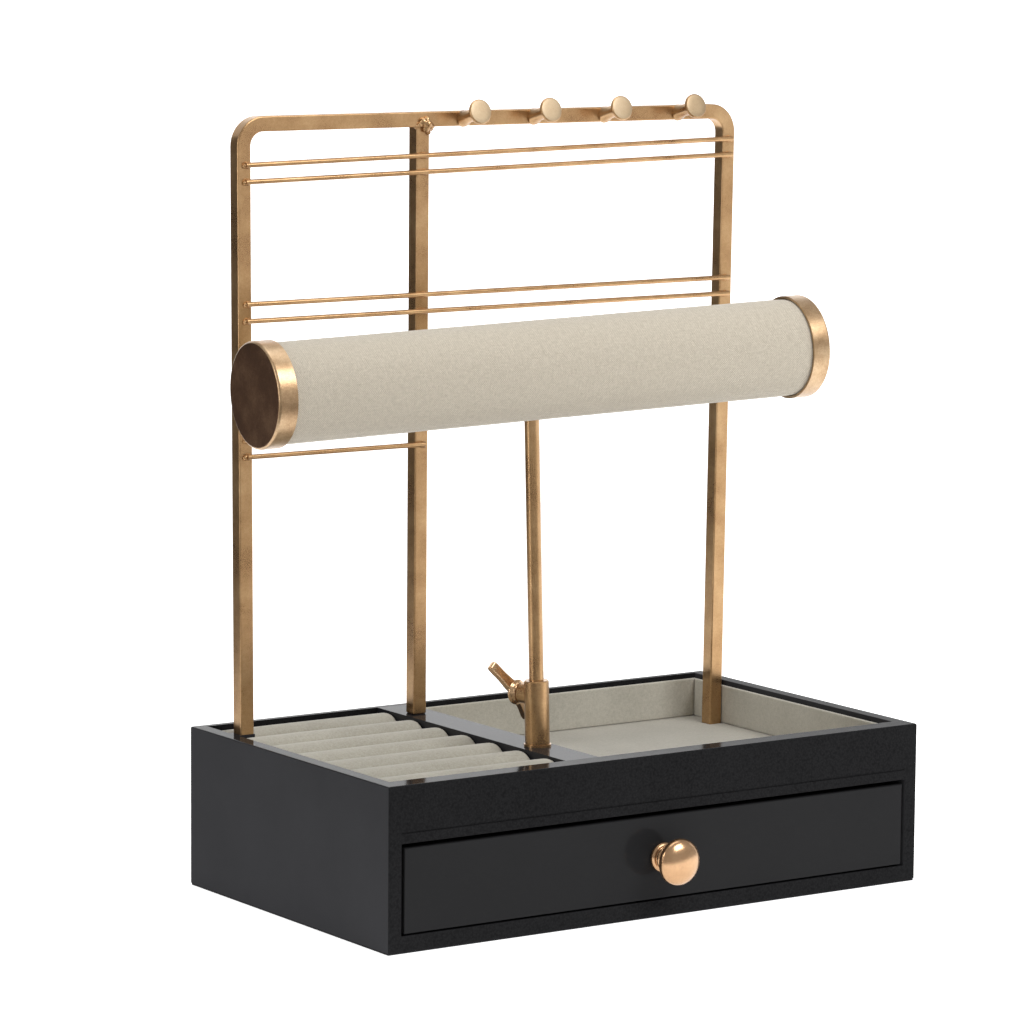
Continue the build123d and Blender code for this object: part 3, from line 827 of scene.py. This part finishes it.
# %% Weld beads
weld_balls = []
middle_post = centre("middle_post")
post_front = hoop_low.y
wire_radius = 1.2 * MM
wire_past_post = 1.2 * MM
for number in range(1, 7):
    low, high = span(f"earring_wire_{number}")
    rise = (high.z - low.z - 2 * wire_radius) / (high.x - low.x)
    places = [low.x + 0.6 * MM, high.x - wire_past_post]
    if high.x > middle_post.x + 2 * bar_width:
        places.append(middle_post.x)
    for seed, x in enumerate(places):
        wire_z = low.z + wire_radius + rise * (x - low.x)
        wander = 0.4 * MM * math.sin(7.0 * number + 3.0 * seed)
        for along, drop, radius in ((-0.9, -0.5, 1.3), (0.8, -0.7, 1.2), (0.1, 0.6, 1.05)):
            place = Vector((x + along * MM + wander, post_front - 0.25 * MM, wire_z + drop * MM))
            weld_balls.append((place, radius))
joint = Vector((middle_post.x + 1.2 * MM, post_front, hoop_high.z - bar_width))
for x, y, z, radius in (
    (-1.7, -0.7, 2.6, 2.0), (0.4, -1.5, 1.5, 2.2), (-0.4, -1.0, -0.9, 1.8), (2.1, -0.9, 0.4, 1.9),
    (3.7, -0.2, 0.2, 1.3), (-3.4, -0.4, 1.0, 1.4), (0.6, -0.6, 3.8, 1.4), (1.4, -0.3, -2.6, 1.3),
    (-5.0, 0.6, 0.2, 1.1), (3.6, 0.8, -0.9, 1.3),
):
    weld_balls.append((joint + Vector((x, y, z)) * MM, radius))

welds = None
for place, radius in weld_balls:
    nothing_selected()
    bpy.ops.mesh.primitive_ico_sphere_add(subdivisions=2, radius=radius * MM, location=place)
    ball = just_added("weld_lumps")
    if welds:
        welds.select_set(True)
        bpy.context.view_layer.objects.active = welds
        bpy.ops.object.join()
    else:
        welds = ball
settle(welds)
modify(welds, "REMESH", mode="VOXEL", voxel_size=0.3 * MM)
modify(welds, "SMOOTH", factor=0.5, iterations=4)
hand_over(welds, gold_paint, "base", "gold_paint", "weld_beads", angle=70)
print("welded from", len(weld_balls), "balls")

# %% [markdown]
# ## The bolster's cover
#
# The cover is a sleeve of woven cloth over thin padding on a card tube. It is drawn tight, so it
# is nearly a true cylinder: it dips a little where each end goes into its cap, and it wanders by
# a few hundredths of a millimetre between. It starts as an open cylinder whose long edges are
# subdivided into rings. A seam runs along the back, underneath, where the photograph can't see.

# %% Sleeve with its own map
left_cap, right_cap = centre("end_cap_left"), centre("end_cap_right")
cap_length, cap_plate, plate_gap = 9.4 * MM, 1.8 * MM, 0.1 * MM
cover_radius = 23.0 * MM
cover_wall = 1.3 * MM
bolster_way = (right_cap - left_cap).normalized()
bolster_middle = (left_cap + right_cap) / 2
cover_half = (right_cap - left_cap).length / 2 + cap_length / 2 - cap_plate - plate_gap
open_half = cover_half + cap_plate + plate_gap - cap_length
seam_angle = math.radians(-118)
rings = 150

nothing_selected()
bpy.ops.mesh.primitive_cylinder_add(
    vertices=144, radius=cover_radius, depth=2 * cover_half, end_fill_type="NOTHING"
)
cover = just_added("bolster_sleeve")
bpy.ops.object.mode_set(mode="EDIT")
pick(cover, "edges", lambda edge: abs(edge.verts[0].co.z - edge.verts[1].co.z) > cover_half)
bpy.ops.mesh.subdivide(number_cuts=rings)
bpy.ops.object.mode_set(mode="OBJECT")

for vertex in cover.data.vertices:
    angle = math.atan2(vertex.co.y, vertex.co.x)
    distance = abs(vertex.co.z)
    into_cap = min(max((distance - (open_half - 3 * MM)) / (3 * MM), 0), 1)
    tuck = 0.35 * MM * into_cap**2
    wander = 0.05 * MM * noise.noise(vertex.co * 55) + 0.03 * MM * noise.noise(vertex.co * 190)
    off_seam = abs(math.remainder(angle - seam_angle, 2 * math.pi)) * cover_radius
    groove = 0.35 * MM * math.exp(-((off_seam / (0.7 * MM)) ** 2))
    radius = cover_radius - tuck + wander - 0.08 * MM - groove
    vertex.co.x = radius * math.cos(angle)
    vertex.co.y = radius * math.sin(angle)

cover_map = cover.data.uv_layers.active or cover.data.uv_layers.new(name="round_and_along")
for face in cover.data.polygons:
    facing = math.atan2(face.center.y, face.center.x)
    for corner in face.loop_indices:
        point = cover.data.vertices[cover.data.loops[corner].vertex_index].co
        angle = facing + math.remainder(math.atan2(point.y, point.x) - facing, 2 * math.pi)
        cover_map.data[corner].uv = (angle * cover_radius, point.z)
modify(cover, "SOLIDIFY", thickness=cover_wall, offset=-1)

turned_way = bolster_way.to_track_quat("Z", "Y").to_matrix().to_4x4()
cover.matrix_world = Matrix.Translation(bolster_middle) @ turned_way
settle(cover)

stem_hole = 4.25 * MM
nothing_selected()
bpy.ops.mesh.primitive_cylinder_add(
    vertices=48, radius=stem_hole, depth=40 * MM,
    location=stem_middle + stem_up * (bolster_middle.z - stem_middle.z - 20 * MM),
    rotation=stem_lean.to_euler(),
)
cutter = just_added("stem_cutter")
settle(cutter)
cut_out(cover, cutter)
hand_over(cover, bolster_weave, "bolster", "bolster_velvet", "bolster_cover", angle=50)
print("cover is", round(2 * cover_half / MM, 1), "mm long")

# %% [markdown]
# ## Ring rolls
#
# Seven padded rolls lie side by side, and a ring's band slips down between two of them. One roll
# is made, blown up a little as cloth so that its skin looks stuffed, and copied. It starts as a
# block whose two long upper edges are bevelled into a half round. The two rolls beside the left
# post have a notch for the block under that post.

# %% Blow up one roll
roll_names = [f"ring_roll_{number}" for number in range(1, 8)]
roll_low, roll_high = span(roll_names[0])
divider_low, divider_high = span("divider")
roll_slack = 0.35 * MM
roll_ends = 0.3 * MM
roll_swell = 0.4 * MM
roll_foot = span("ring_roll_base")[1].z
cloth_frames = 20

low = Vector((roll_low.x, roll_low.y + roll_slack, roll_foot))
high = Vector((divider_low.x - roll_ends, roll_high.y - roll_slack, roll_high.z - roll_slack))
roll = block_at("padded_roll_1", low, high)
roll_middle_y = (low.y + high.y) / 2
half_width = (high.y - low.y) / 2


def edge_ends(edge):
    return edge.verts[0].co, edge.verts[1].co


def is_long_top(edge):
    first, second = edge_ends(edge)
    return min(first.z, second.z) > high.z - 0.1 * MM and abs(first.x - second.x) > 10 * MM


def is_end_rim(edge):
    first, second = edge_ends(edge)
    at_end = min(abs(first.x - x) + abs(second.x - x) for x in (low.x, high.x)) < 0.1 * MM
    return at_end and max(first.z, second.z) > low.z + 0.1 * MM


bpy.ops.object.mode_set(mode="EDIT")
pick(roll, "edges", is_long_top)
bpy.ops.mesh.bevel(offset=half_width * 0.98, segments=16, clamp_overlap=True)
pick(roll, "edges", is_end_rim)
bpy.ops.mesh.bevel(offset=1.5 * MM, segments=3)
bpy.ops.object.mode_set(mode="OBJECT")
modify(roll, "REMESH", mode="VOXEL", voxel_size=1.1 * MM)
modify(roll, "SMOOTH", factor=0.5, iterations=4)


def blow_up(piece, pressure, swell):
    """Cloth pressure without gravity; no point may move further than swell."""
    before = [vertex.co.copy() for vertex in piece.data.vertices]
    choose(piece)
    cloth = piece.modifiers.new("Cloth", "CLOTH")
    cloth.settings.use_pressure = True
    cloth.settings.uniform_pressure_force = pressure
    cloth.settings.effector_weights.gravity = 0
    cloth.point_cache.frame_end = cloth_frames
    for moment in range(1, cloth_frames + 1):
        bpy.context.scene.frame_set(moment)
    bpy.ops.object.modifier_apply(modifier=cloth.name)
    bpy.context.scene.frame_set(1)
    for vertex, start in zip(piece.data.vertices, before):
        move = vertex.co - start
        if move.length > swell:
            vertex.co = start + move.normalized() * swell


blow_up(roll, 4.0, roll_swell)
for vertex in roll.data.vertices:
    vertex.co.z = max(vertex.co.z, roll_foot)
modify(roll, "SUBSURF", levels=1, render_levels=1)

# %% Copy the roll and cut the notches
post_low, post_high = span("left_post_block")
notch_gap = Vector((0.5, 0.5, 0.5)) * MM
rolls = [roll]
for number, node in enumerate(roll_names[1:], start=2):
    copy = roll.copy()
    copy.data = roll.data.copy()
    copy.name = f"padded_roll_{number}"
    bpy.context.collection.objects.link(copy)
    copy.location.y = centre(node).y - roll_middle_y
    settle(copy)
    rolls.append(copy)
for piece, node in zip(rolls, roll_names):
    if span(node)[1].y > post_low.y and span(node)[0].y < post_high.y:
        cut_out(piece, block_at("notch", post_low - notch_gap * 4, post_high + notch_gap))
    hand_over(piece, roll_velvet, "base", "roll_velvet", node, angle=60)

# %% [markdown]
# ## Velvet boards
#
# The tray is lined with thin boards that are wrapped in the same cloth before they are pushed in.
# Wrapped edges are round and never quite straight. Each board is a block with its edges bevelled,
# subdivided, and nudged by a smooth noise. The floor board is cut square round the right post.


# %% Wrapped boards
def velvet_board(node, number, round_edge=0.55, waviness=0.12):
    """A thin board in cloth that fills a frame piece's box."""
    low, high = span(node)
    board = block_at(f"wrapped_{node}", low, high)
    modify(board, "BEVEL", width=round_edge * MM, segments=3, limit_method="ANGLE")
    longest = max(high - low)
    bpy.ops.object.mode_set(mode="EDIT")
    pick(board, "edges", lambda edge: edge.calc_length() > 8 * MM)
    bpy.ops.mesh.subdivide(number_cuts=max(6, int(longest / (6 * MM))))
    bpy.ops.object.mode_set(mode="OBJECT")
    thin = min(range(3), key=lambda axis: high[axis] - low[axis])
    for vertex in board.data.vertices:
        seed = vertex.co * 45 + Vector((number * 3.7, 0, 0))
        inward = -1 if vertex.co[thin] > (low[thin] + high[thin]) / 2 else 1
        vertex.co[thin] += inward * waviness * MM * (0.5 + 0.5 * noise.noise(seed))
    return board


for number, side_name in enumerate(("floor", "front", "back", "left", "right")):
    node = f"tray_{side_name}_lining"
    board = velvet_board(node, number)
    if side_name == "floor":
        hoop_points = [vertex.co for vertex in frame["nodes"]["frame_hoop"].data.vertices]
        foot_points = [point.x for point in hoop_points if point.z < hoop_low.z + 0.1 * MM]
        post_gap = 0.4 * MM + bar_width / 2
        foot_x = (min(foot_points) + max(foot_points)) / 2
        corner = Vector((foot_x, (hoop_low.y + hoop_high.y) / 2, centre(node).z))
        room = Vector((post_gap, post_gap, 5 * MM))
        cut_out(board, block_at("post_opening", corner - room, corner + room))
    # the floor board takes the darker copy of the lining cloth: painted shade
    cloth = floor_velvet_painted_shade if side_name == "floor" else lining_velvet
    hand_over(board, cloth, "base", "lining_velvet", node, angle=50)

# %% [markdown]
# ## The drawer's lining
#
# The drawer is lined in one piece: floor and four low walls. A block loses its top, the corners
# are rounded as folded cloth is, and a Solidify modifier turns the skin into a wall.

# %% Drawer lining
lining_low, lining_high = span("drawer_lining")
lining_wall = 1.2 * MM
lining = block_at("velvet_drawer_lining", lining_low, lining_high)
bpy.ops.object.mode_set(mode="EDIT")
pick(lining, "faces", lambda face: face.normal.z > 0.9)
bpy.ops.mesh.delete(type="FACE")
bpy.ops.mesh.select_mode(type="EDGE")
pick(lining, "edges", lambda edge: len(edge.link_faces) == 2)
bpy.ops.mesh.bevel(offset=1.6 * MM, segments=4)
bpy.ops.object.mode_set(mode="OBJECT")
modify(lining, "SOLIDIFY", thickness=lining_wall, offset=-1)
modify(lining, "BEVEL", width=0.4 * MM, segments=2, limit_method="ANGLE", angle_limit=0.8)
hand_over(lining, lining_velvet, "drawer", "lining_velvet", "drawer_lining", angle=50)
